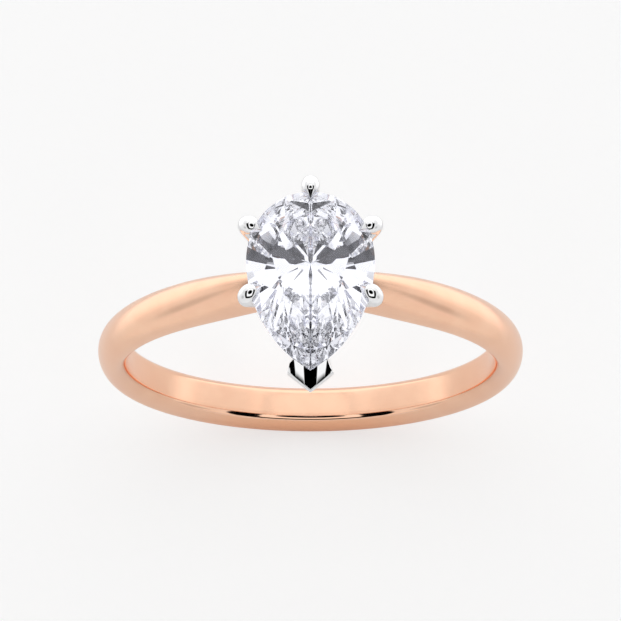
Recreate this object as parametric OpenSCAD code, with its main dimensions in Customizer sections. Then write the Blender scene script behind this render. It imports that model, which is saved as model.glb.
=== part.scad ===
// Pear solitaire engagement ring: a tapered shank, a six-claw head and a pear-cut diamond.
// Frame: Y is the axis of the finger bore, +Z points up to the stone, the origin is the bore's centre.

/* [Shank] */
// Diameter of the finger bore
bore_d = 17; // [16:0.25:18.5]
// Width of the shank at the bottom of the ring
shank_width_bottom = 2.17; // [2.1:0.01:2.4]
// Width of the shank at its shoulders
shank_width_shoulder = 1.88; // [1.8:0.02:2]
// How much narrower the neck under the head is than the shoulders, as a share
neck_narrowing = 0.41; // [0.3:0.01:0.42]
// Thickness of the shank at the bottom and the sides
shank_thickness = 1.42; // [1.34:0.02:1.6]
// How much slimmer the shoulders are at their slimmest
shoulder_dip = 0.2; // [0:0.04:0.32]
// How much the shoulders rise towards the head
shoulder_rise = 1.28; // [1:0.02:1.3]
// Width of the straight wall inside the finger bore
bore_wall_width = 1.43; // [1:0.01:1.5]
// Share of the thickness at which the bottom of the shank is widest
widest_bottom = 0.82; // [0.6:0.02:0.84]
// Share of the thickness at which the shank is widest at the head
widest_head = 0.1; // [0.08:0.02:0.3]

/* [Diamond] */
// Width of the stone across its widest line
stone_width = 5.3; // [5.2:0.05:5.4]
// Length from the widest line to the round end
round_length = 3; // [2.9:0.05:3.1]
// Length from the widest line to the point
point_length = 4.8; // [4.7:0.05:4.9]
// Height of the girdle above the top of the finger bore
stone_lift = 4.4; // [4.3:0.05:4.5]
// Thickness of the girdle where it is thinnest
girdle_thickness = 0.12; // [0.08:0.02:0.16]
// Height of the crown above the girdle
crown_height = 0.7; // [0.6:0.02:0.8]
// Depth of the pavilion below the girdle
pavilion_depth = 2.31; // [2.2:0.01:2.4]
// Size of the table as a share of the girdle outline
table_ratio = 0.605; // [0.5:0.005:0.65]

/* [Claws] */
// Diameter of a claw's wire at its foot
claw_foot_d = 0.62; // [0.55:0.02:0.7]
// Diameter of the rounded claw tip
claw_tip_d = 0.76; // [0.7:0.02:0.8]
// Lean of the claws from upright, in degrees
claw_lean = 25; // [24:0.5:26]
// Length of the pointed part that lies on the stone
claw_reach = 0.36; // [0.3:0.02:0.42]

/* [Rails] */
// Diameter of the gallery rail's wire
gallery_wire_d = 0.5; // [0.44:0.02:0.52]
// Size of the gallery rail as a share of the girdle outline
gallery_ratio = 0.83; // [0.82:0.01:0.86]
// Drop of the gallery rail below the girdle
gallery_drop = 0.8; // [0.76:0.02:0.84]
// Radial thickness of the base rail
base_rail_width = 0.5; // [0.44:0.02:0.56]
// Height of the base rail
base_rail_height = 0.7; // [0.6:0.05:0.8]
// Size of the base rail as a share of the girdle outline
base_ratio = 0.6; // [0.58:0.01:0.62]
// Depth of metal left between the finger bore and the base rail
notch_floor = 1.45; // [1.4:0.05:1.5]

/* [Hidden] */

ROSE_GOLD = [0.84, 0.62, 0.5];
WHITE_METAL = [0.86, 0.87, 0.88];
DIAMOND = [0.86, 0.92, 0.98];

bore_r = bore_d / 2;
girdle_z = bore_r + stone_lift;
girdle_top = girdle_z + girdle_thickness / 2;
girdle_bottom = girdle_z - girdle_thickness / 2;
table_z = girdle_top + crown_height;
culet = [0, 0, girdle_bottom - pavilion_depth];

base_bottom = bore_r + notch_floor;
base_z = base_bottom + base_rail_height / 2;
// The claws' feet end a little above the underside of the base rail.
foot_z = base_bottom + 0.06;
gallery_z = girdle_z - gallery_drop;

// Angles at which the shoulders are slimmest and over which they dip and rise, from the head.
DIP_ANGLE = 61;
DIP_SPREAD = 25;
RISE_SPREAD = 24;
// Angle over which the neck narrows, and how the width and the widest line change on the way down.
NECK_SPREAD = 19;
WIDTH_POWER = 0.42;
WIDEST_POWER = 2.3;
SHANK_STEPS = 96;
DOME_STEPS = 12;
// Steps of the curve between the bore's wall and the widest line, and the angle at which it starts.
SIDE_STEPS = 4;
SIDE_ANGLE = 35;
// Depth of extra metal inside the bore line, which the finger bore then cuts away.
BORE_STOCK = 0.4;
// Step by which the sides of the shank start clear of the bore's wall.
BORE_STEP = 0.01;

// Radius of the bend by which a claw turns over the girdle, and where that bend is centred.
HOOK_R = 0.36;
HOOK_RISE = 0.05;
HOOK_END = 95;
CLAW_SIDES = 16;
RAIL_SIDES = 12;

// Azimuth of each pair of side claws, and how far its bend is set inside the girdle.
BACK_CLAW_AZ = 29.4;
FRONT_CLAW_AZ = -32;
BACK_INSET = 0.06;
FRONT_INSET = 0.14;

// ---- Outline of the stone ----

half_width = stone_width / 2;
// The two sides are arcs that leave the widest line upright and meet at the point.
side_r = (half_width * half_width + point_length * point_length) / stone_width;
side_angle = asin(point_length / side_r);
// The share of the outline's steps that lies on the round end.
ROUND_SHARE = 0.5;

// Point of the outline: t runs from 0 at the right, by the round end and the point, back to 1.
function outline(t) =
    t <= ROUND_SHARE ? round_point(180 * t / ROUND_SHARE)
    : t <= 0.75 ? side_point((t - ROUND_SHARE) / 0.25, -1)
    : side_point((1 - t) / 0.25, 1);
function round_point(a) = [half_width * cos(a), round_length * sin(a)];
function side_point(share, side) =
    [side * (half_width - side_r * (1 - cos(side_angle * share))), -side_r * sin(side_angle * share)];

// Distance from the origin to the outline in direction az.
function outline_r(az) = az >= 0
    ? 1 / norm([cos(az) / half_width, sin(az) / round_length])
    : let (c = side_r - half_width, b = c * cos(az)) sqrt(b * b - c * c + side_r * side_r) - b;

function unit(v) = v / norm(v);
function outward(t) =
    let (step = 0.002, d = unit(outline((t + step) % 1) - outline((t - step + 1) % 1))) [d[1], -d[0]];

// ---- Swept solids ----

// Joins rings of points into one closed solid: a loop, or a bar with a cap at each end.
module skin(rings, loop = false) {
    n = len(rings);
    m = len(rings[0]);
    points = [for (ring = rings) for (p = ring) p];
    sides = [for (i = [0 : n - (loop ? 1 : 2)]) for (j = [0 : m - 1])
        let (a = i * m, b = ((i + 1) % n) * m, k = (j + 1) % m)
        each [[a + j, b + k, a + k], [a + j, b + j, b + k]]];
    caps = loop ? [] : [[for (j = [0 : m - 1]) j], [for (j = [m - 1 : -1 : 0]) (n - 1) * m + j]];
    polyhedron(points = points, faces = concat(sides, caps), convexity = 6);
}

// Joins the pieces cut from one another into one closed mesh, at the size they have.
module one_mesh() {
    resize([0, 0, 0]) union() children();
}

// ---- Shank ----

function shank_neck(a) = 1 - neck_narrowing * exp(-pow(a / NECK_SPREAD, 2));
function shank_width(a) = shank_neck(a)
    * (shank_width_shoulder + (shank_width_bottom - shank_width_shoulder) * pow(sin(a / 2), WIDTH_POWER));
function shank_height(a) = shank_thickness - shoulder_dip * exp(-pow((a - DIP_ANGLE) / DIP_SPREAD, 2))
    + shoulder_rise * exp(-pow(a / RISE_SPREAD, 2));
function shank_widest(a) =
    shank_height(a) * (widest_head + (widest_bottom - widest_head) * pow(sin(a / 2), WIDEST_POWER));

// One side of the shank's section at an angle q of its curve: the wall's edge is at SIDE_ANGLE.
function shank_side(wall, w, rise, q) =
    [wall + (w - wall) * (cos(q) - cos(SIDE_ANGLE)) / (1 - cos(SIDE_ANGLE)),
     bore_r + BORE_STEP + rise * (1 - sin(q) / sin(SIDE_ANGLE))];

// Section of the shank as [across the band, distance from the bore's axis].
function shank_section(a) =
    let (w = shank_width(a) / 2, wall = bore_wall_width / 2 * shank_neck(a),
         rise = shank_widest(a) - BORE_STEP, dome = shank_height(a) - shank_widest(a),
         side = [for (i = [0 : SIDE_STEPS]) shank_side(wall, w, rise, SIDE_ANGLE * (1 - i / SIDE_STEPS))])
    concat(
        [[-wall, bore_r - BORE_STOCK], [wall, bore_r - BORE_STOCK]],
        side,
        [for (i = [1 : DOME_STEPS - 1]) let (q = 180 * i / DOME_STEPS)
            [w * cos(q), bore_r + shank_widest(a) + dome * sin(q)]],
        [for (i = [SIDE_STEPS : -1 : 0]) [-side[i][0], side[i][1]]]);

function shank_ring(angle) =
    let (a = min(angle, 360 - angle))
    [for (p = shank_section(a)) [p[1] * sin(angle), p[0], p[1] * cos(angle)]];

// The room that the base rail takes out of the top of the shank.
module head_notch() {
    rail_room(base_ratio, base_rail_width, base_bottom, stone_lift);
}

module shank() {
    color(ROSE_GOLD)
        difference() {
            one_mesh() shank_blank();
            rotate([90, 0, 0])
                cylinder(r = bore_r, h = 2 * shank_width_bottom, center = true, $fn = 96);
        }
}

// The swept band with the room for the head filed out of it, before it is bored.
module shank_blank() {
    difference() {
        skin([for (i = [0 : SHANK_STEPS - 1]) shank_ring(360 * i / SHANK_STEPS)], loop = true);
        head_notch();
        for (side = [0, 1]) mirror([side, 0, 0]) {
            side_claw_body(BACK_CLAW_AZ, BACK_INSET);
            side_claw_body(FRONT_CLAW_AZ, FRONT_INSET);
        }
    }
}

// ---- Rails ----

RAIL_STEPS = 48;
// Section power of the base rail: 2 is an ellipse, larger is squarer.
BASE_POWER = 4;
GALLERY_POWER = 2;

function corner_stretch(t) = t == 0.75 ? 1 / sin(side_angle) : 1;
function super(c, power) = sign(c) * pow(abs(c), 2 / power);

// Section of a rail at outline position t.
function rail_ring(t, ratio, z, size, power) =
    let (c = outline(t) * ratio, n = outward(t) * corner_stretch(t) * size[0] / 2)
    [for (j = [0 : RAIL_SIDES - 1]) let (q = 360 * j / RAIL_SIDES)
        [c[0] + n[0] * super(cos(q), power), c[1] + n[1] * super(cos(q), power),
         z - size[1] / 2 * super(sin(q), power)]];

module rail_body(ratio, z, size, power) {
    skin([for (i = [0 : RAIL_STEPS - 1]) rail_ring(i / RAIL_STEPS, ratio, z, size, power)], loop = true);
}

// Everything inside the outer edge of a rail, from height z upwards.
module rail_room(ratio, width, z, height) {
    translate([0, 0, z])
        linear_extrude(height = height)
            polygon([for (i = [0 : RAIL_STEPS - 1]) let (t = i / RAIL_STEPS)
                outline(t) * ratio + outward(t) * corner_stretch(t) * width / 2]);
}

// The saddles in the claws that the two rails sit in.
module rail_saddles() {
    rail_room(base_ratio, base_rail_width, base_z - base_rail_height, 1.5 * base_rail_height);
    rail_room(gallery_ratio, gallery_wire_d, gallery_z - gallery_wire_d / 2, gallery_wire_d);
}

module base_rail() {
    color(WHITE_METAL)
        rail_body(base_ratio, base_z, [base_rail_width, base_rail_height], BASE_POWER);
}

module gallery_rail() {
    color(WHITE_METAL)
        rail_body(gallery_ratio, gallery_z, [gallery_wire_d, gallery_wire_d], GALLERY_POWER);
}

// ---- Claws ----

WIRE_RINGS = 8;
HOOK_RINGS = 9;
TIP_RINGS = 5;

// Stations of a claw's centre line in its own upright plane, as [outward, up, angle, radius].
function claw_stations(hook) =
    let (tip_r = claw_tip_d / 2, foot_r = claw_foot_d / 2,
         top = hook + HOOK_R * [cos(claw_lean), -sin(claw_lean)],
         run = (top[1] - base_bottom) / cos(claw_lean),
         turn = HOOK_END + claw_lean,
         hook_end = hook + HOOK_R * [cos(HOOK_END), sin(HOOK_END)])
    concat(
        [for (i = [0 : WIRE_RINGS - 1]) let (s = i / WIRE_RINGS)
            [top[0] - run * (1 - s) * sin(claw_lean), top[1] - run * (1 - s) * cos(claw_lean), -claw_lean,
             foot_r + (tip_r - foot_r) * s * s]],
        [for (i = [0 : HOOK_RINGS - 1]) let (a = -claw_lean + turn * i / (HOOK_RINGS - 1))
            [hook[0] + HOOK_R * cos(a), hook[1] + HOOK_R * sin(a), a, tip_r * hook_taper(i / (HOOK_RINGS - 1))]],
        [for (i = [1 : TIP_RINGS]) let (s = i / TIP_RINGS)
            [hook_end[0] - claw_reach * s * sin(HOOK_END), hook_end[1] + claw_reach * s * cos(HOOK_END),
             HOOK_END, tip_r * hook_taper(1) * (1 - 0.94 * s)]]);

// The tip keeps its full thickness over the first part of the bend, then draws in to a point.
HOOK_FULL = 0.62;
HOOK_NARROW = 0.78;
function hook_taper(s) = s < HOOK_FULL ? 1
    : 1 - (1 - HOOK_NARROW) * pow((s - HOOK_FULL) / (1 - HOOK_FULL), 2);

function claw_ring(s) = [for (j = [0 : CLAW_SIDES - 1]) let (q = 360 * j / CLAW_SIDES)
    [s[0] + s[3] * cos(q) * cos(s[2]), s[3] * sin(q), s[1] + s[3] * cos(q) * sin(s[2])]];

// A claw that stands at azimuth az, before its seat and its saddles are cut.
module side_claw_body(az, inset) {
    hook = [outline_r(az) - inset, girdle_z + HOOK_RISE];
    rotate([0, 0, az])
        intersection() {
            skin([for (s = claw_stations(hook)) claw_ring(s)]);
            translate([0, -stone_width, foot_z])
                cube([2 * stone_width, 2 * stone_width, stone_width]);
        }
}

module side_claw(az, inset) {
    color(WHITE_METAL)
        one_mesh() difference() {
            side_claw_body(az, inset);
            rail_saddles();
            diamond_body();
        }
}

module claw_back() { side_claw(90, BACK_INSET); }
module claw_back_right() { side_claw(BACK_CLAW_AZ, BACK_INSET); }
module claw_back_left() { mirror([1, 0, 0]) side_claw(BACK_CLAW_AZ, BACK_INSET); }
module claw_front_right() { side_claw(FRONT_CLAW_AZ, FRONT_INSET); }
module claw_front_left() { mirror([1, 0, 0]) side_claw(FRONT_CLAW_AZ, FRONT_INSET); }

// Height of the V claw's lower front edge below the girdle, and how far that edge reaches.
V_RIM_DROP = 0.05;
V_REACH = 5.6;
// The V claw's top is a sloping roof: a flat strip down the middle whose two sides fall away evenly
// and curl down near the corners.
V_SLOPE = 18.5;
V_FLAT = 0.26;
V_FALL = 0.23;
V_CURL = 0.5;
V_CURL_START = 0.61;
// Half width of the block that cuts the roof, its height, and how far it runs behind and in front.
V_ROOF_HALF = 1.2;
V_ROOF_HEIGHT = 3;
V_ROOF_BACK = 3;
V_ROOF_FRONT = 1;
V_ROOF_XS = [0, V_FLAT, 0.6, 0.7, 0.8, 0.9, V_ROOF_HALF];

// Stations of the V claw from its foot up:
// [height, ridge reach, half width, sweep back, inner half width, inner reach, notch reach].
function v_stations() = [
    [foot_z, 3.3, 0.36, 0.3, 0.24, 2.58, 2.8],
    [foot_z + 1.55, 4.8, 0.62, 0.46, 0.49, 3.9, 4.27],
    [girdle_z - 0.7, V_REACH - 0.12, 0.92, 0.75, 0.72, 4, 4.58],
    [girdle_z - 0.3, V_REACH, 0.94, 0.75, 0.72, 4.05, 4.6],
    [girdle_z + 0.5, V_REACH, 0.94, 0.75, 0.66, 4.5, 4.98]];

function v_ring(s) =
    [[0, -s[1], s[0]], [s[2], -s[1] + s[3], s[0]], [s[4], -s[5], s[0]],
     [0, -s[6], s[0]], [-s[4], -s[5], s[0]], [-s[2], -s[1] + s[3], s[0]]];

// Drop of the roof's surface below its flat, at a distance x from the middle.
function v_drop(x) = V_FALL * max(x - V_FLAT, 0) + V_CURL * pow(max(x - V_CURL_START, 0), 2);

// Everything above the V claw's roof.
module v_roof() {
    right = [for (x = V_ROOF_XS) [x, -v_drop(x)]];
    left = [for (i = [len(right) - 1 : -1 : 1]) [-right[i][0], right[i][1]]];
    translate([0, -V_REACH, girdle_z - V_RIM_DROP])
        rotate([90 + V_SLOPE, 0, 0])
            translate([0, 0, -V_ROOF_BACK])
                linear_extrude(height = V_ROOF_BACK + V_ROOF_FRONT)
                    polygon(concat(left, right, [[V_ROOF_HALF, V_ROOF_HEIGHT], [-V_ROOF_HALF, V_ROOF_HEIGHT]]));
}

module v_claw() {
    color(WHITE_METAL)
        one_mesh() difference() {
            skin([for (s = v_stations()) v_ring(s)]);
            v_roof();
            rail_saddles();
            diamond_body();
        }
}

// ---- Diamond ----

// Main facets on each of the crown and the pavilion, and steps of the girdle to each.
MAINS = 8;
STEPS_PER_MAIN = 8;
GIRDLE_STEPS = MAINS * STEPS_PER_MAIN;
// Share of the way from girdle to culet that the lower halves reach, and from girdle to table
// that the upper halves reach.
LOWER_HALF = 0.9;
UPPER_HALF = 0.51;

function at(step, z) = let (p = outline((step % GIRDLE_STEPS) / GIRDLE_STEPS)) [p[0], p[1], z];
function main_step(i) = i * STEPS_PER_MAIN;
function mid_step(i) = (i + 0.5) * STEPS_PER_MAIN;

// A plane is [normal, distance from the origin along it].
function plane3(a, b, c) = let (n = unit(cross(b - a, c - a))) [n, n * a];
function meet(p, q, r) =
    (p[1] * cross(q[0], r[0]) + q[1] * cross(r[0], p[0]) + r[1] * cross(p[0], q[0]))
    / (p[0] * cross(q[0], r[0]));
function level(z) = [[0, 0, 1], z];
function drop_onto(pl, p) = [p[0], p[1], (pl[1] - pl[0][0] * p[0] - pl[0][1] * p[1]) / pl[0][2]];

// A main facet touches the girdle and ends at the culet or at a corner of the table.
function tangent(i) = let (t = (i % MAINS) / MAINS, n = outward(t)) t == 0.75 ? [1, 0, 0] : [-n[1], n[0], 0];
function main_plane(i, z, tip) = let (g = at(main_step(i), z)) plane3(g, g + tangent(i), tip);
function table_corner(i) = let (c = at(main_step(i), 0) * table_ratio) [c[0], c[1], table_z];
function crown_main(i) = main_plane(i, girdle_top, table_corner(i));
function pavilion_main(i) = main_plane(i, girdle_bottom, culet);

// Points where two neighbouring main facets and the half facets between them meet.
function upper_meet(i) =
    meet(crown_main(i), crown_main(i + 1), level(girdle_top + UPPER_HALF * crown_height));
function lower_meet(i) =
    let (edge = meet(pavilion_main(i), pavilion_main(i + 1), level(girdle_bottom)))
    edge + LOWER_HALF * (culet - edge);

// Point of the girdle's edge at a step: it lies in the half facet that the step belongs to.
function half_plane(step, z, tip) =
    let (i = floor(step / STEPS_PER_MAIN), first = step < mid_step(i))
    plane3(at(first ? main_step(i) : mid_step(i), z), at(first ? mid_step(i) : main_step(i + 1), z), tip);
function girdle_point(step, z, tips) =
    drop_onto(half_plane(step, z, tips[floor(step / STEPS_PER_MAIN)]), at(step, z));

module diamond_body() {
    n = GIRDLE_STEPS;
    index = [0 : MAINS - 1];
    upper = [for (i = index) upper_meet(i)];
    lower = [for (i = index) lower_meet(i)];
    points = concat(
        [for (s = [0 : n - 1]) girdle_point(s, girdle_top, upper)],
        [for (s = [0 : n - 1]) girdle_point(s, girdle_bottom, lower)],
        upper, lower, [for (i = index) table_corner(i)], [culet]);
    up = 2 * n;
    low = up + MAINS;
    table = low + MAINS;
    culet_at = table + MAINS;
    half = STEPS_PER_MAIN / 2;
    faces = concat(
        [[for (i = index) table + MAINS - 1 - i]],
        [for (i = index) let (j = (i + 1) % MAINS, h = (i + MAINS - 1) % MAINS, g = main_step(i)) each [
            [up + i, table + i, table + j],
            [g, up + h, table + i, up + i],
            [n + g, low + i, culet_at, low + h]]],
        [for (i = index) for (k = [0, half]) let (g = main_step(i) + k) each [
            [up + i, for (s = [half : -1 : 0]) (g + s) % n],
            [low + i, for (s = [0 : half]) n + (g + s) % n]]],
        [for (s = [0 : n - 1]) let (e = (s + 1) % n) [s, e, n + e, n + s]]);
    polyhedron(points = points, faces = faces, convexity = 4);
}

module diamond() {
    color(DIAMOND) diamond_body();
}

shank();
base_rail();
gallery_rail();
claw_back();
claw_back_left();
claw_back_right();
claw_front_left();
claw_front_right();
v_claw();
diamond();
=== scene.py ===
"""Pear solitaire engagement ring: fine meshes, finishes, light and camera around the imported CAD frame.

Y is the axis of the finger bore, +Z points up to the stone and the origin is the bore's centre.
Shapes are worked out in millimetres and become metres when their mesh is made.
"""
import math

import bmesh
import bpy
import numpy as np
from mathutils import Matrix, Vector


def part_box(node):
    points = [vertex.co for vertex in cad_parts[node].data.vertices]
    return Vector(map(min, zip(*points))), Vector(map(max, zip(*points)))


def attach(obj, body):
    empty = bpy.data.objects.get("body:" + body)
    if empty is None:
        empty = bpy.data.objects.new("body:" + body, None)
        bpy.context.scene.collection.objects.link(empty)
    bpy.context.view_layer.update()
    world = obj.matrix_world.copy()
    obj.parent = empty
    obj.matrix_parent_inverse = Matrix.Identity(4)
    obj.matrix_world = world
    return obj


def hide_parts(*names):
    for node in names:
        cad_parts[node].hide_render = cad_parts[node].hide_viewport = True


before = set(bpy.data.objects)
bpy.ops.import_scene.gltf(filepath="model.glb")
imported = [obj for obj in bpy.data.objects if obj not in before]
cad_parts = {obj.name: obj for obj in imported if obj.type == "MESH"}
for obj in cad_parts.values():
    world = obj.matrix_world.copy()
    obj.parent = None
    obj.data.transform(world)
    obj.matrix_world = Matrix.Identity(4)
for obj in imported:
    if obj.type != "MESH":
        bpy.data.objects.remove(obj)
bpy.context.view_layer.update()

MM = 0.001
TAU = 2 * math.pi

# ---- Driving dimensions, in millimetres ----


def box_mm(node):
    """Lowest and highest corner of a CAD node, in millimetres."""
    low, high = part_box(node)
    return low / MM, high / MM


STONE_LOW, STONE_HIGH = box_mm("diamond")
SHANK_LOW, SHANK_HIGH = box_mm("shank")
BASE_LOW, BASE_HIGH = box_mm("base_rail")

BORE_R = 8.5
SHANK_WIDTH_BOTTOM = SHANK_HIGH.y - SHANK_LOW.y
SHANK_WIDTH_SHOULDER = 1.88
NECK_NARROWING = 0.41
NECK_SPREAD = math.radians(19)
SHANK_THICKNESS = -SHANK_LOW.z - BORE_R
SHOULDER_DIP = 0.2
SHOULDER_RISE = 1.28
DIP_ANGLE = math.radians(61)
DIP_SPREAD = math.radians(25)
RISE_SPREAD = math.radians(24)
WIDTH_POWER = 0.42
WALL_HALF_WIDTH = 0.715
WIDEST_BOTTOM = 0.82
WIDEST_HEAD = 0.1
WIDEST_POWER = 2.3
SIDE_CURVE = math.radians(35)

HALF_WIDTH = STONE_HIGH.x
ROUND_LENGTH = STONE_HIGH.y
POINT_LENGTH = -STONE_LOW.y
TABLE_Z = STONE_HIGH.z
GIRDLE_Z = 12.9
GIRDLE_THICKNESS = 0.12
GIRDLE_TOP = GIRDLE_Z + GIRDLE_THICKNESS / 2
GIRDLE_BOTTOM = GIRDLE_Z - GIRDLE_THICKNESS / 2
TABLE_RATIO = 0.605
CULET = Vector((0, 0, STONE_LOW.z))

BASE_BOTTOM = BASE_LOW.z
BASE_Z = (BASE_LOW.z + BASE_HIGH.z) / 2
BASE_RAIL = (0.5, BASE_HIGH.z - BASE_LOW.z)
BASE_RATIO = 0.6
BASE_POWER = 4
GALLERY_DROP = 0.8
GALLERY_Z = GIRDLE_Z - GALLERY_DROP
GALLERY_RAIL = (0.5, 0.5)
GALLERY_RATIO = 0.83
GALLERY_POWER = 2
# How far below and above the base rail's underside the claws are cut away inside its outer edge.
SADDLE_BELOW = 0.4
SADDLE_ABOVE = 0.7

# Edges that bend by more than this stay sharp: on the band, on rails and claws, and on the V claw.
SHARP_BAND = math.radians(28)
SHARP_WIRE = math.radians(40)
SHARP_V = math.radians(20)

CLAW_FOOT_R = 0.31
CLAW_TIP_R = 0.38
CLAW_LEAN = math.radians(25)
CLAW_REACH = 0.36
# Share of its radius that a claw loses over its pointed tip.
CLAW_POINT = 0.94
HOOK_R = 0.36
HOOK_RISE = 0.05
HOOK_END = math.radians(95)
HOOK_FULL = 0.62
HOOK_NARROW = 0.78
BACK_INSET = 0.06
FRONT_INSET = 0.14
BACK_AZ = math.radians(29.4)
FRONT_AZ = math.radians(-32)


# ---- Meshes ----


def new_object(name, points, faces):
    """An object whose mesh holds these points, in millimetres, and faces."""
    mesh = bpy.data.meshes.new(name)
    mesh.from_pydata([tuple(p) for p in points], [], faces)
    mesh.validate()
    obj = bpy.data.objects.new(name, mesh)
    bpy.context.scene.collection.objects.link(obj)
    return obj


def skin(name, rings, loop):
    """Joins rings of points into one closed mesh: a loop, or a bar with a cap at each end."""
    rings = np.asarray(rings, float)
    n, m = rings.shape[:2]
    faces = []
    for i in range(n if loop else n - 1):
        a = i * m
        b = ((i + 1) % n) * m
        for j in range(m):
            k = (j + 1) % m
            faces.append((a + j, a + k, b + k, b + j))
    if not loop:
        faces.append(tuple(range(m - 1, -1, -1)))
        faces.append(tuple((n - 1) * m + j for j in range(m)))
    return new_object(name, rings.reshape(-1, 3), faces)


def apply_modifiers(obj):
    """Makes what an object's modifiers show its own mesh."""
    graph = bpy.context.evaluated_depsgraph_get()
    mesh = bpy.data.meshes.new_from_object(obj.evaluated_get(graph))
    obj.modifiers.clear()
    old = obj.data
    obj.data = mesh
    bpy.data.meshes.remove(old)
    mesh.name = obj.name


def cut(obj, cutters):
    """Cuts each cutter out of obj in turn."""
    for cutter in cutters:
        step = obj.modifiers.new("cut", "BOOLEAN")
        step.solver = "MANIFOLD"
        step.operation = "DIFFERENCE"
        step.object = cutter
    apply_modifiers(obj)


def drop(objects):
    """Removes objects that only served to cut others."""
    for obj in objects:
        bpy.data.objects.remove(obj)


def finish_piece(obj, sharp_angle, node, slot_name, *materials):
    """Brings a piece to metres, shades it, gives it its finish and ties it to the frame.

    A sharp_angle of None leaves every face flat.
    """
    for point in obj.data.vertices:
        point.co *= MM
    if sharp_angle is None:
        obj.data.shade_flat()
    else:
        obj.data.shade_smooth()
        obj.data.set_sharp_from_angle(angle=sharp_angle)
    obj.data.materials.clear()
    for material in materials:
        obj.data.materials.append(material)
    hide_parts(node)
    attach(obj, "root")


# ---- Outline of the stone ----

# The two sides are arcs that start square to the widest line and meet at the point.
SIDE_R = (HALF_WIDTH ** 2 + POINT_LENGTH ** 2) / (2 * HALF_WIDTH)
SIDE_ANGLE = math.asin(POINT_LENGTH / SIDE_R)
# Where on the outline the point lies, and how much a rail's section is stretched there.
TIP_T = 0.75
CORNER_STRETCH = 1 / math.sin(SIDE_ANGLE)


def outline(t):
    """Point of the girdle: t runs from 0 at the right, by the round end and the point, back to 1."""
    if t <= 0.5:
        return np.array((HALF_WIDTH * math.cos(TAU * t), ROUND_LENGTH * math.sin(TAU * t)))
    side = -1 if t <= TIP_T else 1
    share = (t - 0.5) / (TIP_T - 0.5) if t <= TIP_T else (1 - t) / (1 - TIP_T)
    turn = SIDE_ANGLE * share
    return np.array((side * (HALF_WIDTH - SIDE_R * (1 - math.cos(turn))), -SIDE_R * math.sin(turn)))


NORMAL_STEP = 0.0005


def outward(t):
    """Unit normal of the outline at t, halfway between the two sides at the point."""
    along = outline((t + NORMAL_STEP) % 1) - outline((t - NORMAL_STEP) % 1)
    along /= np.linalg.norm(along)
    return np.array((along[1], -along[0]))


def outline_r(azimuth):
    """Distance from the origin to the outline in direction azimuth."""
    if azimuth >= 0:
        return 1 / math.hypot(math.cos(azimuth) / HALF_WIDTH, math.sin(azimuth) / ROUND_LENGTH)
    c = SIDE_R - HALF_WIDTH
    b = c * math.cos(azimuth)
    return math.sqrt(b * b - c * c + SIDE_R ** 2) - b


# ---- Shank ----

SHANK_STEPS = 360
DOME_STEPS = 40
SIDE_STEPS = 12
WALL_STEPS = 16
# How far the crown of the bore's wall stands proud of its edges.
WALL_CROWN = 0.01
# Length of the rounded edge on each side of the corner between the wall and a side.
FILLET = 0.17
FILLET_STEPS = 12
# Share of the side's curve over which its pace is measured.
PACE_SHARE = 0.05


def shank_neck(a):
    """Share of its width that the shank keeps at angle a from the head."""
    return 1 - NECK_NARROWING * math.exp(-(a / NECK_SPREAD) ** 2)


def shank_width(a):
    """Width of the shank at angle a from the head."""
    growth = (SHANK_WIDTH_BOTTOM - SHANK_WIDTH_SHOULDER) * math.sin(a / 2) ** WIDTH_POWER
    return shank_neck(a) * (SHANK_WIDTH_SHOULDER + growth)


def shank_height(a):
    """Thickness of the shank at angle a from the head."""
    dip = SHOULDER_DIP * math.exp(-((a - DIP_ANGLE) / DIP_SPREAD) ** 2)
    rise = SHOULDER_RISE * math.exp(-(a / RISE_SPREAD) ** 2)
    return SHANK_THICKNESS - dip + rise


def shank_widest(a):
    """How far outside the bore the shank is widest at angle a from the head."""
    share = WIDEST_HEAD + (WIDEST_BOTTOM - WIDEST_HEAD) * math.sin(a / 2) ** WIDEST_POWER
    return share * shank_height(a)


def shank_side(half, wall, widest, q):
    """Point on the side of the shank's section, between the wall's edge and the widest line."""
    reach = (math.cos(q) - math.cos(SIDE_CURVE)) / (1 - math.cos(SIDE_CURVE))
    rise = WALL_CROWN + (widest - WALL_CROWN) * (1 - math.sin(q) / math.sin(SIDE_CURVE))
    return Vector((wall + (half - wall) * reach, BORE_R + rise))


def shank_fillet(half, wall, widest):
    """The rounded edge between the wall and a side, and the side's angle where it ends."""
    corner = shank_side(half, wall, widest, SIDE_CURVE)
    nearby = shank_side(half, wall, widest, SIDE_CURVE * (1 - PACE_SHARE))
    pace = (nearby - corner).length / PACE_SHARE
    end = SIDE_CURVE * (1 - FILLET / pace)
    start = corner - Vector((FILLET, 0))
    finish = shank_side(half, wall, widest, end)
    points = []
    for i in range(FILLET_STEPS + 1):
        t = i / FILLET_STEPS
        points.append(start * (1 - t) ** 2 + corner * 2 * t * (1 - t) + finish * t ** 2)
    return points, end


def shank_section(a):
    """Section of the shank as (across the band, distance from the bore's axis)."""
    half = shank_width(a) / 2
    wall = WALL_HALF_WIDTH * shank_neck(a)
    widest = shank_widest(a)
    dome = shank_height(a) - widest
    side, end = shank_fillet(half, wall, widest)
    side += [shank_side(half, wall, widest, end * (1 - i / SIDE_STEPS)) for i in range(1, SIDE_STEPS)]
    across = [(wall - FILLET) * (2 * i / WALL_STEPS - 1) for i in range(1, WALL_STEPS)]
    points = [(y, BORE_R + WALL_CROWN * (y / wall) ** 2) for y in across]
    points += side
    for i in range(DOME_STEPS + 1):
        q = math.pi * i / DOME_STEPS
        points.append((half * math.cos(q), BORE_R + widest + dome * math.sin(q)))
    points += [(-y, rho) for y, rho in reversed(side)]
    return points


def shank_ring(angle):
    """The shank's section turned to an angle from the head."""
    section = shank_section(min(angle, TAU - angle))
    return [(rho * math.sin(angle), y, rho * math.cos(angle)) for y, rho in section]


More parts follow.
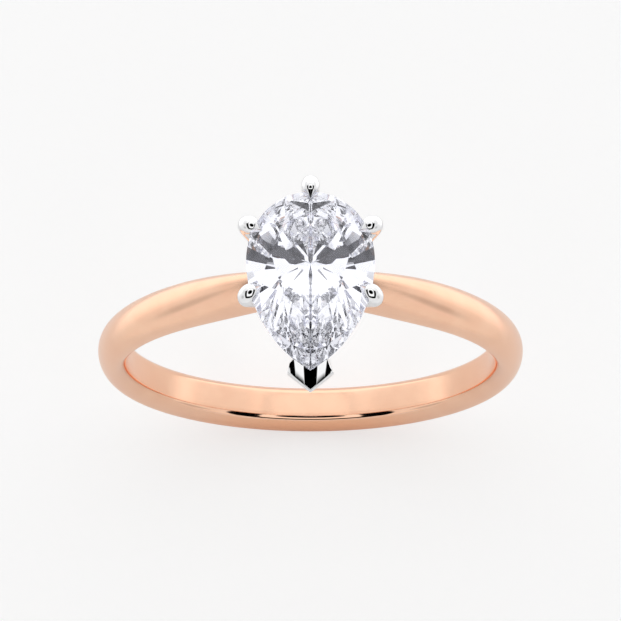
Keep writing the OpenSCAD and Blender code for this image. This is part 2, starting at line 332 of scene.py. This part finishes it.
def make_shank(gold, claw_cutters):
    """The rose gold band, with the room for the head filed out of it."""
    rings = [shank_ring(TAU * i / SHANK_STEPS) for i in range(SHANK_STEPS)]
    shank = skin("ring_shank", rings, loop=True)
    notch = rail_room("notch", BASE_RATIO, BASE_RAIL[0], BASE_BOTTOM, TABLE_Z)
    cut(shank, [notch] + claw_cutters)
    drop([notch])
    # The stone shows its own facets, not the band behind them.
    shank.visible_transmission = False
    finish_piece(shank, SHARP_BAND, "shank", "rose_gold", gold)


# ---- Rails ----

RAIL_STEPS = 192
RAIL_SIDES = 40


def superellipse(c, power):
    """A cosine or sine drawn towards the corners of a square as power grows from 2."""
    return math.copysign(abs(c) ** (2 / power), c)


def rail_ring(t, ratio, z, size, power):
    """Section of a rail at outline position t."""
    centre = outline(t) * ratio
    normal = outward(t) * (CORNER_STRETCH if t == TIP_T else 1) * size[0] / 2
    ring = []
    for j in range(RAIL_SIDES):
        q = -TAU * j / RAIL_SIDES
        reach = superellipse(math.cos(q), power)
        ring.append((*(centre + normal * reach), z + size[1] / 2 * superellipse(math.sin(q), power)))
    return ring


def make_rail(name, node, ratio, z, size, power, metal):
    """A rail of the head that follows the stone's outline."""
    rings = [rail_ring(i / RAIL_STEPS, ratio, z, size, power) for i in range(RAIL_STEPS)]
    rail = skin(name, rings, loop=True)
    finish_piece(rail, SHARP_WIRE, node, "white_metal", metal)


def rail_room(name, ratio, width, low, high):
    """Everything inside the outer edge of a rail, between two heights."""
    edge = []
    for i in range(RAIL_STEPS):
        t = i / RAIL_STEPS
        reach = outward(t) * (CORNER_STRETCH if t == TIP_T else 1) * width / 2
        edge.append(outline(t) * ratio + reach)
    return skin(name, [[(x, y, z) for x, y in edge] for z in (low, high)], loop=False)


# ---- Claws ----

CLAW_SIDES = 40
WIRE_RINGS = 16
HOOK_RINGS = 32
TIP_RINGS = 14


def claw_stations(hook):
    """Stations of a claw's centre line in its own upright plane, as (outward, up, angle, radius)."""
    top = (hook[0] + HOOK_R * math.cos(CLAW_LEAN), hook[1] - HOOK_R * math.sin(CLAW_LEAN))
    run = (top[1] - BASE_BOTTOM) / math.cos(CLAW_LEAN)
    stations = []
    for i in range(WIRE_RINGS):
        s = i / WIRE_RINGS
        back = run * (1 - s)
        radius = CLAW_FOOT_R + (CLAW_TIP_R - CLAW_FOOT_R) * s * s
        out = top[0] - back * math.sin(CLAW_LEAN)
        up = top[1] - back * math.cos(CLAW_LEAN)
        stations.append((out, up, -CLAW_LEAN, radius))
    for i in range(HOOK_RINGS):
        s = i / (HOOK_RINGS - 1)
        a = -CLAW_LEAN + (HOOK_END + CLAW_LEAN) * s
        out = hook[0] + HOOK_R * math.cos(a)
        up = hook[1] + HOOK_R * math.sin(a)
        stations.append((out, up, a, CLAW_TIP_R * hook_taper(s)))
    end = (hook[0] + HOOK_R * math.cos(HOOK_END), hook[1] + HOOK_R * math.sin(HOOK_END))
    for i in range(1, TIP_RINGS + 1):
        s = i / TIP_RINGS
        out = end[0] - CLAW_REACH * s * math.sin(HOOK_END)
        up = end[1] + CLAW_REACH * s * math.cos(HOOK_END)
        stations.append((out, up, HOOK_END, CLAW_TIP_R * hook_taper(1) * (1 - CLAW_POINT * s)))
    return stations


def hook_taper(s):
    """The tip keeps its full thickness over the first part of the bend, then draws in to a point."""
    if s < HOOK_FULL:
        return 1
    return 1 - (1 - HOOK_NARROW) * ((s - HOOK_FULL) / (1 - HOOK_FULL)) ** 2


def claw_body(name, azimuth, inset, side):
    """A claw that stands at azimuth, mirrored in X where side is -1."""
    hook = (outline_r(azimuth) - inset, GIRDLE_Z + HOOK_RISE)
    rings = []
    for out, up, a, radius in claw_stations(hook):
        ring = []
        for j in range(CLAW_SIDES):
            q = side * TAU * j / CLAW_SIDES
            r = out + radius * math.cos(q) * math.cos(a)
            across = radius * math.sin(q)
            x = r * math.cos(azimuth) - across * math.sin(azimuth)
            y = r * math.sin(azimuth) + across * math.cos(azimuth)
            ring.append((side * x, y, up + radius * math.cos(q) * math.sin(a)))
        rings.append(ring)
    return skin(name, rings, loop=False)


SIDE_CLAWS = {
    "claw_back_left": (BACK_AZ, BACK_INSET, -1),
    "claw_back_right": (BACK_AZ, BACK_INSET, 1),
    "claw_front_left": (FRONT_AZ, FRONT_INSET, -1),
    "claw_front_right": (FRONT_AZ, FRONT_INSET, 1),
}


def make_claws(metal, seat, saddles):
    """The five round claws, each cut to sit on the rails and over the stone's edge."""
    claws = {"claw_back": (math.radians(90), BACK_INSET, 1), **SIDE_CLAWS}
    for node, place in claws.items():
        claw = claw_body("prong" + node.removeprefix("claw"), *place)
        cut(claw, saddles + [seat])
        finish_piece(claw, SHARP_WIRE, node, "white_metal", metal)


# How far the V claw's ridge reaches at the top.
V_REACH = 5.6
# Stations of the V claw from its foot up:
# (height, ridge reach, half width, sweep back, inner half width, inner reach, notch reach).
V_STATIONS = [
    (BASE_BOTTOM + 0.06, 3.3, 0.36, 0.3, 0.24, 2.58, 2.8),
    (BASE_BOTTOM + 1.61, 4.8, 0.62, 0.46, 0.49, 3.9, 4.27),
    (GIRDLE_Z - 0.7, V_REACH - 0.12, 0.92, 0.75, 0.72, 4, 4.58),
    (GIRDLE_Z - 0.3, V_REACH, 0.94, 0.75, 0.72, 4.05, 4.6),
    (GIRDLE_Z + 0.5, V_REACH, 0.94, 0.75, 0.66, 4.5, 4.98),
]
V_SIDE_STEPS = 24
# Length over which the V's ridge is rounded.
V_RIDGE_ROUND = 0.04
# The V claw's top is a sloping roof: a flat strip down the middle whose two sides fall away evenly
# and curl down near the corners.
V_RIM_DROP = 0.05
V_SLOPE = math.radians(18.5)
V_FLAT = 0.26
V_FALL = 0.23
V_CURL = 0.5
V_CURL_START = 0.61
# Half width of the block that cuts the roof, its height, and how far it runs behind and in front.
V_ROOF_HALF = 1.2
V_ROOF_HEIGHT = 3
V_ROOF_BACK = 3
V_ROOF_FRONT = 1
V_ROOF_STEPS = 40
# How much the rounding of its front edge takes off on each side, and in how many steps.
V_RIM_ROUND = 0.06
V_RIM_STEPS = 4
# The faces beside that edge are told by their normals: how much an upright face's may point up,
# and how much a roof face's must point up and a front face's forward.
UPRIGHT_LIMIT = 0.3
ROOF_LIMIT = 0.6
FRONT_LIMIT = 0.3


def v_ring(z, reach, half, sweep, inner_half, inner_reach, notch_reach):
    """Section of the V claw: a ridge in front, two swept sides and a notch behind."""
    bend = math.hypot(half, V_RIDGE_ROUND) - V_RIDGE_ROUND
    front = []
    for i in range(-V_SIDE_STEPS, V_SIDE_STEPS + 1):
        x = half * i / V_SIDE_STEPS
        front.append((x, -reach + sweep * (math.hypot(x, V_RIDGE_ROUND) - V_RIDGE_ROUND) / bend, z))
    back = [(inner_half, -inner_reach, z), (0, -notch_reach, z), (-inner_half, -inner_reach, z)]
    return front + back


def v_drop(x):
    """Drop of the roof's surface below its flat, at a distance x from the middle."""
    return V_FALL * max(abs(x) - V_FLAT, 0) + V_CURL * max(abs(x) - V_CURL_START, 0) ** 2


def v_roof(name):
    """Everything above the V claw's roof."""
    slope = Vector((0, math.cos(V_SLOPE), math.sin(V_SLOPE)))
    normal = Vector((0, -math.sin(V_SLOPE), math.cos(V_SLOPE)))
    start = Vector((0, -V_REACH, GIRDLE_Z - V_RIM_DROP))
    sides = [V_FLAT + (V_ROOF_HALF - V_FLAT) * i / V_ROOF_STEPS for i in range(V_ROOF_STEPS + 1)]
    profile = [(x, -v_drop(x)) for x in [-x for x in reversed(sides)] + sides]
    profile += [(V_ROOF_HALF, V_ROOF_HEIGHT), (-V_ROOF_HALF, V_ROOF_HEIGHT)]
    rings = []
    for along in (V_ROOF_BACK, -V_ROOF_FRONT):
        rings.append([start + along * slope + Vector((x, 0, 0)) + up * normal for x, up in profile])
    return skin(name, rings, loop=False)


def round_rim(claw):
    """Softens the front edge where the V claw's roof meets its upright sides."""
    mesh = bmesh.new()
    mesh.from_mesh(claw.data)
    mesh.normal_update()
    rim = []
    for edge in mesh.edges:
        if len(edge.link_faces) != 2:
            continue
        side, top = sorted(edge.link_faces, key=lambda face: face.normal.z)
        upright = abs(side.normal.z) < UPRIGHT_LIMIT
        if upright and side.normal.y < -FRONT_LIMIT and top.normal.z > ROOF_LIMIT:
            rim.append(edge)
    bmesh.ops.bevel(mesh, geom=rim, offset=V_RIM_ROUND, segments=V_RIM_STEPS, affect="EDGES",
                    profile=0.5)
    mesh.to_mesh(claw.data)
    mesh.free()


def make_v_claw(metal, seat, saddles):
    """The V claw that guards the stone's point."""
    claw = skin("prong_point", [v_ring(*s) for s in V_STATIONS], loop=False)
    roof = v_roof("v_roof")
    cut(claw, [roof])
    drop([roof])
    round_rim(claw)
    cut(claw, saddles + [seat])
    finish_piece(claw, SHARP_V, "v_claw", "white_metal", metal)


# ---- Diamond ----

MAINS = 8
STEPS_PER_MAIN = 24
GIRDLE_STEPS = MAINS * STEPS_PER_MAIN
HALF_STEPS = STEPS_PER_MAIN // 2
# Share of the way from girdle to culet that the lower halves reach, and from girdle to table
# that the upper halves reach.
LOWER_HALF = 0.9
UPPER_HALF = 0.51


def at(step, z):
    """Point of the girdle's outline at a step and a height."""
    x, y = outline((step % GIRDLE_STEPS) / GIRDLE_STEPS)
    return Vector((x, y, z))


def plane_through(a, b, c):
    """A plane as (normal, distance from the origin along it)."""
    normal = (b - a).cross(c - a).normalized()
    return normal, normal.dot(a)


def meet(p, q, r):
    """The point where three planes meet."""
    top = p[1] * q[0].cross(r[0]) + q[1] * r[0].cross(p[0]) + r[1] * p[0].cross(q[0])
    return top / p[0].dot(q[0].cross(r[0]))


def level(z):
    """A level plane."""
    return Vector((0, 0, 1)), z


def tangent(i):
    """Direction of the outline at the start of main facet i."""
    if i % MAINS == TIP_T * MAINS:
        return Vector((1, 0, 0))
    x, y = outward((i % MAINS) / MAINS)
    return Vector((-y, x, 0))


def main_plane(i, z, tip):
    """The plane of a main facet, which touches the girdle and ends at tip."""
    start = at(i * STEPS_PER_MAIN, z)
    return plane_through(start, start + tangent(i), tip)


def table_corner(i):
    """A corner of the table."""
    corner = at(i * STEPS_PER_MAIN, 0) * TABLE_RATIO
    corner.z = TABLE_Z
    return corner


def crown_main(i):
    """The plane of crown main i."""
    return main_plane(i, GIRDLE_TOP, table_corner(i))


def pavilion_main(i):
    """The plane of pavilion main i."""
    return main_plane(i, GIRDLE_BOTTOM, CULET)


def upper_meet(i):
    """Where two crown mains and the upper halves between them meet."""
    height = GIRDLE_TOP + UPPER_HALF * (TABLE_Z - GIRDLE_TOP)
    return meet(crown_main(i), crown_main(i + 1), level(height))


def lower_meet(i):
    """Where two pavilion mains and the lower halves between them meet."""
    edge = meet(pavilion_main(i), pavilion_main(i + 1), level(GIRDLE_BOTTOM))
    return edge + LOWER_HALF * (CULET - edge)


def girdle_point(step, z, tips):
    """Point of the girdle's edge at a step: it lies in the half facet that the step belongs to."""
    i = step // STEPS_PER_MAIN
    first = i * STEPS_PER_MAIN
    middle = first + HALF_STEPS
    start, end = (first, middle) if step < middle else (middle, first + STEPS_PER_MAIN)
    normal, distance = plane_through(at(start, z), at(end, z), tips[i])
    point = at(step, z)
    point.z = (distance - normal.x * point.x - normal.y * point.y) / normal.z
    return point


def diamond_shape(name):
    """The pear brilliant: table, stars, mains and halves, with the girdle's faces in a second slot."""
    n = GIRDLE_STEPS
    upper = [upper_meet(i) for i in range(MAINS)]
    lower = [lower_meet(i) for i in range(MAINS)]
    points = [girdle_point(s, GIRDLE_TOP, upper) for s in range(n)]
    points += [girdle_point(s, GIRDLE_BOTTOM, lower) for s in range(n)]
    points += upper + lower + [table_corner(i) for i in range(MAINS)] + [CULET]
    up = 2 * n
    low = up + MAINS
    table = low + MAINS
    culet = table + MAINS
    faces = [tuple(table + i for i in range(MAINS))]
    for i in range(MAINS):
        before = (i - 1) % MAINS
        after = (i + 1) % MAINS
        girdle = i * STEPS_PER_MAIN
        faces.append((up + i, table + after, table + i))
        faces.append((girdle, up + i, table + i, up + before))
        faces.append((n + girdle, low + before, culet, low + i))
        for start in (girdle, girdle + HALF_STEPS):
            run = range(start, start + HALF_STEPS + 1)
            faces.append((up + i, *[s % n for s in run]))
            faces.append((low + i, *[n + s % n for s in reversed(run)]))
    facets = len(faces)
    for s in range(n):
        e = (s + 1) % n
        faces.append((s, n + s, n + e, e))
    stone = new_object(name, points, faces)
    for face in stone.data.polygons:
        face.material_index = 1 if face.index >= facets else 0
    return stone


# ---- Finishes ----

# Nearly all values of a noise lie between these.
NOISE_SPAN = (0.3, 0.7)


class Nodes:
    """Adds nodes to a tree and links them: an input is a number, a colour or another node's output."""

    def __init__(self, tree):
        self.tree = tree

    def add(self, kind, inputs=(), **settings):
        """A node with its settings, whose inputs are set or linked by place or name."""
        node = self.tree.nodes.new(kind)
        for name, value in settings.items():
            setattr(node, name, value)
        pairs = inputs.items() if isinstance(inputs, dict) else enumerate(inputs)
        for place, value in pairs:
            if isinstance(value, bpy.types.NodeSocket):
                self.tree.links.new(value, node.inputs[place])
            else:
                node.inputs[place].default_value = value
        return node

    def math(self, operation, *inputs):
        """The result of a Math node."""
        return self.add("ShaderNodeMath", inputs, operation=operation).outputs[0]

    def dot(self, a, b):
        """The dot product of two vectors."""
        return self.add("ShaderNodeVectorMath", (a, b), operation="DOT_PRODUCT").outputs["Value"]

    def link(self, value, node, place):
        """Links an output to a node's input."""
        self.tree.links.new(value, node.inputs[place])

    def noise(self, place, scale, detail):
        """Fine noise from 0 to 1 at this place."""
        inputs = {"Vector": place, "Scale": scale, "Detail": detail}
        return self.add("ShaderNodeTexNoise", inputs).outputs[0]

    def mixed(self, share, start, end):
        """A colour that goes from start to end with share."""
        return self.add("ShaderNodeMix", {0: share, 6: start, 7: end}, data_type="RGBA").outputs[2]

    def colour(self, shader, noise, start, end):
        """Gives the shader a base colour that goes from start to end with a noise."""
        self.link(self.mixed(self.step(noise, *NOISE_SPAN), start, end), shader, "Base Color")

    def bump(self, shader, height, strength, distance):
        """Gives the shader a bump of this strength and depth in metres."""
        inputs = {"Height": height, "Strength": strength, "Distance": distance}
        self.link(self.add("ShaderNodeBump", inputs).outputs[0], shader, "Normal")

    def step(self, value, low, high, start=0.0, end=1.0):
        """Runs smoothly from start to end as value goes from low to high."""
        inputs = {"Value": value, "From Min": low, "From Max": high, "To Min": start, "To Max": end}
        return self.add("ShaderNodeMapRange", inputs, interpolation_type="SMOOTHSTEP").outputs[0]

    def inside(self, value, limit, edge):
        """1 where value is under limit and 0 past it, with a soft edge."""
        return self.step(value, limit - edge, limit + edge, 1.0, 0.0)


def new_material(name, roughness, **settings):
    """A material, its Principled shader with these settings, and a node builder for it."""
    material = bpy.data.materials.new(name)
    material.use_nodes = True
    tree = material.node_tree
    shader = next(n for n in tree.nodes if n.type == "BSDF_PRINCIPLED")
    shader.inputs["Roughness"].default_value = roughness
    for socket, value in settings.items():
        shader.inputs[socket.replace("_", " ")].default_value = value
    return material, shader, Nodes(tree)


GOLD_PALE = (0.96, 0.61, 0.43, 1)
GOLD_DEEP = (0.93, 0.57, 0.395, 1)
# Painted shade: the foot of the band, which lies closest to the table, goes over to a deeper red
# between these heights, in place of the darker light that it reflects there.
GOLD_FOOT_SHADE = (0.95, 0.50, 0.30, 1)
FOOT_SHADE_HEIGHT = (-6.5 * MM, -9.3 * MM)
# Polishing lines run around the band: grains this wide in metres, drawn out this much along it.
POLISH_LINE = 0.00004
POLISH_STRETCH = 60
BAND_RADIUS = 0.0095
# Worn patches per metre, the lines' share when both are mixed into the roughness, and the span of
# the mix.
GOLD_PATCHES = 900
LINES_SHARE = 0.4
GOLD_WEAR_SPAN = (0.35, 0.65)
GOLD_ROUGHNESS = (0.2, 0.27)
GOLD_BUMP = (0.12, 0.0000012)
# The edge of the bore is polished brighter: it starts and ends between these distances from the axis.
BRIGHT_EDGE_START = (8.511 * MM, 8.52 * MM)
BRIGHT_EDGE_END = (8.62 * MM, 8.72 * MM)
BRIGHT_EDGE_ROUGHNESS = 0.07


def gold_material():
    """Polished rose gold: fine lines around the band, soft patches, a bright bore edge, painted shade at
    the foot.
    """
    material, shader, n = new_material("rose_gold", GOLD_ROUGHNESS[0], Metallic=1)
    place = n.add("ShaderNodeTexCoord").outputs["Object"]
    x, y, z = n.add("ShaderNodeSeparateXYZ", (place,)).outputs
    rho = n.math("SQRT", n.math("ADD", n.math("MULTIPLY", x, x), n.math("MULTIPLY", z, z)))
    around = n.math("MULTIPLY", n.math("ARCTAN2", x, z), BAND_RADIUS / POLISH_STRETCH)
    band = n.add("ShaderNodeCombineXYZ", (y, rho, around)).outputs[0]
    lines = n.noise(band, 1 / POLISH_LINE, 3)
    patches = n.noise(place, GOLD_PATCHES, 4)
    worn = n.mixed(n.step(patches, *NOISE_SPAN), GOLD_DEEP, GOLD_PALE)
    # Painted shade: the foot of the band turns a deeper red, but not on the bore's wall and its edge.
    foot_shade = n.math("MULTIPLY", n.step(z, *FOOT_SHADE_HEIGHT), n.step(rho, *BRIGHT_EDGE_END))
    n.link(n.mixed(foot_shade, worn, GOLD_FOOT_SHADE), shader, "Base Color")
    lines_part = n.math("MULTIPLY", lines, LINES_SHARE)
    patches_part = n.math("MULTIPLY", patches, 1 - LINES_SHARE)
    soft = n.step(n.math("ADD", lines_part, patches_part), *GOLD_WEAR_SPAN, *GOLD_ROUGHNESS)
    edge = n.math("MULTIPLY", n.step(rho, *BRIGHT_EDGE_START),
                  n.step(rho, *BRIGHT_EDGE_END, 1.0, 0.0))
    rough = n.add("ShaderNodeMix", {"Factor": edge, "A": soft, "B": BRIGHT_EDGE_ROUGHNESS}).outputs[0]
    n.link(rough, shader, "Roughness")
    n.bump(shader, lines, *GOLD_BUMP)
    return material


WHITE_BRIGHT = (0.865, 0.865, 0.87, 1)
WHITE_DULL = (0.82, 0.825, 0.835, 1)
# Smudges and hairlines per metre. The hairlines are drawn out along Z, which counts for this share.
WHITE_SMUDGES = 2600
WHITE_HAIRLINES = 16000
HAIRLINE_Z_SHARE = 0.05
SMUDGE_SPAN = (0.35, 0.7)
WHITE_ROUGHNESS = (0.02, 0.07)
WHITE_BUMP = (0.08, 0.0000006)


def white_metal_material():
    """Mirror-polished white metal with faint smudges and hairlines."""
    material, shader, n = new_material("white_metal", 0.05, Metallic=1)
    place = n.add("ShaderNodeTexCoord").outputs["Object"]
    smudges = n.noise(place, WHITE_SMUDGES, 4)
    scale = (1, 1, HAIRLINE_Z_SHARE)
    stretched = n.add("ShaderNodeMapping", {"Vector": place, "Scale": scale}).outputs[0]
    hairlines = n.noise(stretched, WHITE_HAIRLINES, 2)
    n.colour(shader, smudges, WHITE_DULL, WHITE_BRIGHT)
    n.link(n.step(smudges, *SMUDGE_SPAN, *WHITE_ROUGHNESS), shader, "Roughness")
    n.bump(shader, hairlines, *WHITE_BUMP)
    return material


STONE_CLEAR = (0.925, 0.935, 1, 1)
STONE_TINT = (0.885, 0.895, 0.998, 1)
DIAMOND_IOR = 2.417
# Seen square on, the stone's surface reflects this share of what diamond's would. It is also very
# slightly soft.
STONE_SHEEN = (0.45, 0.45, 0.48, 1)
STONE_ROUGHNESS = 0.012
# Patches of its cast per metre.
STONE_PATCHES = 500
# Grains of the ground girdle per metre.
GIRDLE_GRAINS = 30000
GIRDLE_ROUGHNESS = (0.22, 0.38)
GIRDLE_BUMP = (0.3, 0.000002)


def diamond_material():
    """Clear diamond with a faint cool cast that drifts through the stone."""
    material, shader, n = new_material("diamond", STONE_ROUGHNESS, IOR=DIAMOND_IOR,
                                       Transmission_Weight=1, Specular_Tint=STONE_SHEEN)
    place = n.add("ShaderNodeTexCoord").outputs["Object"]
    n.colour(shader, n.noise(place, STONE_PATCHES, 2), STONE_TINT, STONE_CLEAR)
    return material


def girdle_material():
    """The stone's finely ground girdle."""
    material, shader, n = new_material("diamond_girdle", 0.3, IOR=DIAMOND_IOR, Transmission_Weight=1)
    place = n.add("ShaderNodeTexCoord").outputs["Object"]
    grain = n.noise(place, GIRDLE_GRAINS, 3)
    n.colour(shader, grain, STONE_TINT, STONE_CLEAR)
    n.link(n.step(grain, *NOISE_SPAN, *GIRDLE_ROUGHNESS), shader, "Roughness")
    n.bump(shader, grain, *GIRDLE_BUMP)
    return material


# ---- Studio ----

CAMERA_ELEVATION = math.radians(71.52)
CAMERA_DISTANCE = 0.1
CAMERA_AIM_Z = 6.31 * MM
CAMERA_LENS = 132.0
CAMERA_SENSOR = 36
CAMERA_CLIP = (0.005, 10)
FLOOR_RADIUS = 30
FLOOR_SIDES = 96
# Fibres of the paper per metre.
FLOOR_FIBRES = 4000
# The paper's brightness where it is seen directly. Its glow there keeps the shadows on it light.
FLOOR_PAPER = (0.385, 0.395)
FLOOR_GLOW = 0.63
# Its brightness and glow in the light that it sends to the ring.
FLOOR_REFLECTED = 0.88
FLOOR_GLOW_REFLECTED = 0.12


def make_camera():
    """The camera, which looks down at the ring from in front."""
    data = bpy.data.cameras.new("camera")
    data.lens = CAMERA_LENS
    data.sensor_width = CAMERA_SENSOR
    data.clip_start, data.clip_end = CAMERA_CLIP
    camera = bpy.data.objects.new("camera", data)
    bpy.context.scene.collection.objects.link(camera)
    back = Vector((0, -math.cos(CAMERA_ELEVATION), math.sin(CAMERA_ELEVATION)))
    camera.location = Vector((0, 0, CAMERA_AIM_Z)) + CAMERA_DISTANCE * back
    camera.rotation_euler = (math.radians(90) - CAMERA_ELEVATION, 0, 0)
    bpy.context.scene.camera = camera


def make_floor():
    """A plain pale floor under the ring."""
    turns = [TAU * i / FLOOR_SIDES for i in range(FLOOR_SIDES)]
    rim = [(FLOOR_RADIUS * math.cos(a), FLOOR_RADIUS * math.sin(a), 0) for a in turns]
    floor = new_object("floor", rim, [tuple(range(FLOOR_SIDES))])
    for point in floor.data.vertices:
        point.co *= MM
        point.co.z = SHANK_LOW.z * MM
    material, shader, n = new_material("floor", 0.9, Emission_Color=(1, 1, 1, 1))
    grain = n.noise(n.add("ShaderNodeTexCoord").outputs["Object"], FLOOR_FIBRES, 3)
    seen = n.add("ShaderNodeLightPath").outputs["Is Camera Ray"]
    paper = n.step(grain, *NOISE_SPAN, *FLOOR_PAPER)
    shade = n.add("ShaderNodeMix", {"Factor": seen, "A": FLOOR_REFLECTED, "B": paper})
    n.link(shade.outputs[0], shader, "Base Color")
    glow = n.add("ShaderNodeMix", {"Factor": seen, "A": FLOOR_GLOW_REFLECTED, "B": FLOOR_GLOW})
    n.link(glow.outputs[0], shader, "Emission Strength")
    floor.data.materials.append(material)


# The softbox faces along the camera's line of sight, with a black frame around it and a black bar
# across it. Their half sizes are tangents of the angle from that line.
SOFTBOX = {"side": 0.6, "back": 0.92, "front": 1.0}
FRAME = {"side": 1.28, "back": 0.5, "front": 2.2}
BACK_BAR = {"side": 0.66, "back": 1.0, "front": 0.0}
LENS_HOLE = 0.4
# Half widths of the soft edges of the softbox and the bar, of the frame, and of the lens hole.
SOFTBOX_EDGE = 0.03
FRAME_EDGE = 0.04
LENS_EDGE = 0.02
# Cosines from the line of sight: the least that is divided by, and where things in front fade in.
LEAST_DEPTH = 0.05
IN_FRONT = (0.04, 0.08)
# The softbox grows brighter towards its back, over this stretch.
SOFTBOX_LIGHT = 1.12
SOFTBOX_BACK_LIGHT = 1.4
SOFTBOX_BLEND = (0.6, 0.86)
# The walls grow brighter from the front to the back, over this stretch of the way's Y.
WALL_FRONT_LIGHT = 0.92
WALL_BACK_LIGHT = 1.38
WALL_BLEND = (-0.2, 0.45)
# What the camera sees directly instead of the walls.
BACKGROUND_LIGHT = 0.95
# Dimmer parts of the walls, the same on both sides:
# (way towards it, cosine at its edge, cosine at its heart, share of the light left).
DIM_SPOTS = [
    ((0.82, 0.32, 0.47), 0.88, 0.97, 0.76),
    ((0.86, -0.5, 0.02), 0.96, 0.995, 0.68),
]


def make_world():
    """The studio: a softbox with a black frame and a hole for the lens, and white walls."""
    world = bpy.data.worlds.new("studio")
    bpy.context.scene.world = world
    world.use_nodes = True
    tree = world.node_tree
    tree.nodes.clear()
    n = Nodes(tree)
    toward = n.add("ShaderNodeTexCoord").outputs["Generated"]
    axis = (0, -math.cos(CAMERA_ELEVATION), math.sin(CAMERA_ELEVATION))
    up = (0, math.sin(CAMERA_ELEVATION), math.cos(CAMERA_ELEVATION))
    ahead = n.dot(toward, axis)
    depth = n.math("MAXIMUM", ahead, LEAST_DEPTH)
    u = n.math("ABSOLUTE", n.math("DIVIDE", n.dot(toward, (1, 0, 0)), depth))
    v = n.math("DIVIDE", n.dot(toward, up), depth)
    in_front = n.step(ahead, *IN_FRONT)

    def window(size, edge):
        """1 inside a rectangle of these half sizes."""
        across = n.inside(u, size["side"], edge)
        above = n.inside(v, size["back"], edge)
        below = n.inside(n.math("MULTIPLY", v, -1), size["front"], edge)
        behind = n.math("MULTIPLY", across, above)
        before = n.math("MULTIPLY", below, in_front)
        return n.math("MULTIPLY", behind, before)

    softbox = window(SOFTBOX, SOFTBOX_EDGE)
    framed = n.math("MAXIMUM", window(FRAME, FRAME_EDGE), window(BACK_BAR, SOFTBOX_EDGE))
    radius = n.math("SQRT", n.math("ADD", n.math("MULTIPLY", u, u), n.math("MULTIPLY", v, v)))
    lens = n.math("MULTIPLY", n.inside(radius, LENS_HOLE, LENS_EDGE), in_front)
    walls = n.step(n.dot(toward, (0, 1, 0)), *WALL_BLEND, WALL_FRONT_LIGHT, WALL_BACK_LIGHT)
    x, y, z = n.add("ShaderNodeSeparateXYZ", (toward,)).outputs
    mirrored = n.add("ShaderNodeCombineXYZ", (n.math("ABSOLUTE", x), y, z)).outputs[0]
    for way, edge, heart, left in DIM_SPOTS:
        near = n.dot(mirrored, Vector(way).normalized())
        walls = n.math("MULTIPLY", walls, n.step(near, edge, heart, 1.0, left))
    light = n.math("MULTIPLY", walls, n.math("SUBTRACT", 1, framed))
    box_light = n.step(v, *SOFTBOX_BLEND, SOFTBOX_LIGHT, SOFTBOX_BACK_LIGHT)
    lit = n.math("MULTIPLY", n.math("SUBTRACT", softbox, lens), box_light)
    light = n.math("ADD", light, n.math("MAXIMUM", lit, 0))
    seen = n.add("ShaderNodeLightPath").outputs["Is Camera Ray"]
    light = n.add("ShaderNodeMix", {"Factor": seen, "A": light, "B": BACKGROUND_LIGHT}).outputs[0]
    back = n.add("ShaderNodeBackground", {"Color": (1, 1, 1, 1), "Strength": light})
    n.add("ShaderNodeOutputWorld", {"Surface": back.outputs[0]})


BOUNCES = 32


def set_light_paths():
    """Lets light cross the stone often enough to leave it again."""
    cycles = bpy.context.scene.cycles
    cycles.max_bounces = BOUNCES
    cycles.glossy_bounces = BOUNCES
    cycles.transmission_bounces = BOUNCES


def main():
    """Builds the ring and its studio."""
    make_camera()
    make_floor()
    make_world()
    set_light_paths()
    gold = gold_material()
    white = white_metal_material()
    seat = diamond_shape("seat")
    saddles = [
        rail_room("base_saddle", BASE_RATIO, BASE_RAIL[0],
                  BASE_BOTTOM - SADDLE_BELOW, BASE_BOTTOM + SADDLE_ABOVE),
        rail_room("gallery_saddle", GALLERY_RATIO, GALLERY_RAIL[0],
                  GALLERY_Z - GALLERY_RAIL[1] / 2, GALLERY_Z + GALLERY_RAIL[1] / 2),
    ]
    claw_cutters = [claw_body("cutter_" + name, *place) for name, place in SIDE_CLAWS.items()]
    make_shank(gold, claw_cutters)
    make_rail("rail_base", "base_rail", BASE_RATIO, BASE_Z, BASE_RAIL, BASE_POWER, white)
    make_rail("rail_gallery", "gallery_rail", GALLERY_RATIO, GALLERY_Z, GALLERY_RAIL, GALLERY_POWER,
              white)
    make_claws(white, seat, saddles)
    make_v_claw(white, seat, saddles)
    drop(saddles + claw_cutters + [seat])
    stone = diamond_shape("pear_diamond")
    finish_piece(stone, None, "diamond", "diamond", diamond_material(), girdle_material())
    bpy.context.scene.view_settings.view_transform = "Standard"


main()
